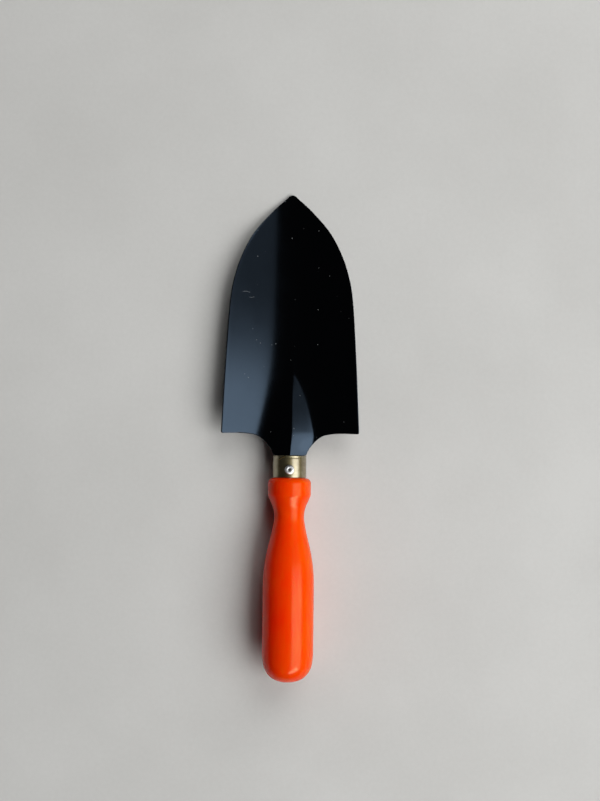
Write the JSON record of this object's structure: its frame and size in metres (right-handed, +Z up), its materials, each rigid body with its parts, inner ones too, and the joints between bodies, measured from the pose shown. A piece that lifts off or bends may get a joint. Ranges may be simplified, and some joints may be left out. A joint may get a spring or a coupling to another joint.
{
  "type": "hand trowel",
  "caption": "Hand trowel with a dished, pointed steel blade, a stamped neck ridge, a metal ferrule and a turned wooden handle.",
  "frame": {"origin": "middle of the overall box, on the table that the trowel lies on, close to the blade's rear edge", "axes": "+Y towards the tip of the blade, +Z up out of the dish, X across; the trowel is mirror-symmetric about X = 0"},
  "size_m": [0.0748, 0.2646, 0.0321],
  "materials": {
    "blade_paint": "gloss black paint",
    "ferrule_zinc": "yellow zinc plated, satin",
    "handle_lacquer": "orange-red gloss lacquer",
    "rivet_aluminium": "plain, bright",
    "mandrel_steel": "broken end, dull"
  },
  "bodies": {
    "root": {"blade": "blade_paint", "ferrule": "ferrule_zinc", "handle": "handle_lacquer", "rivet_body": "rivet_aluminium", "rivet_mandrel": "mandrel_steel"}
  },
  "joints": []
}
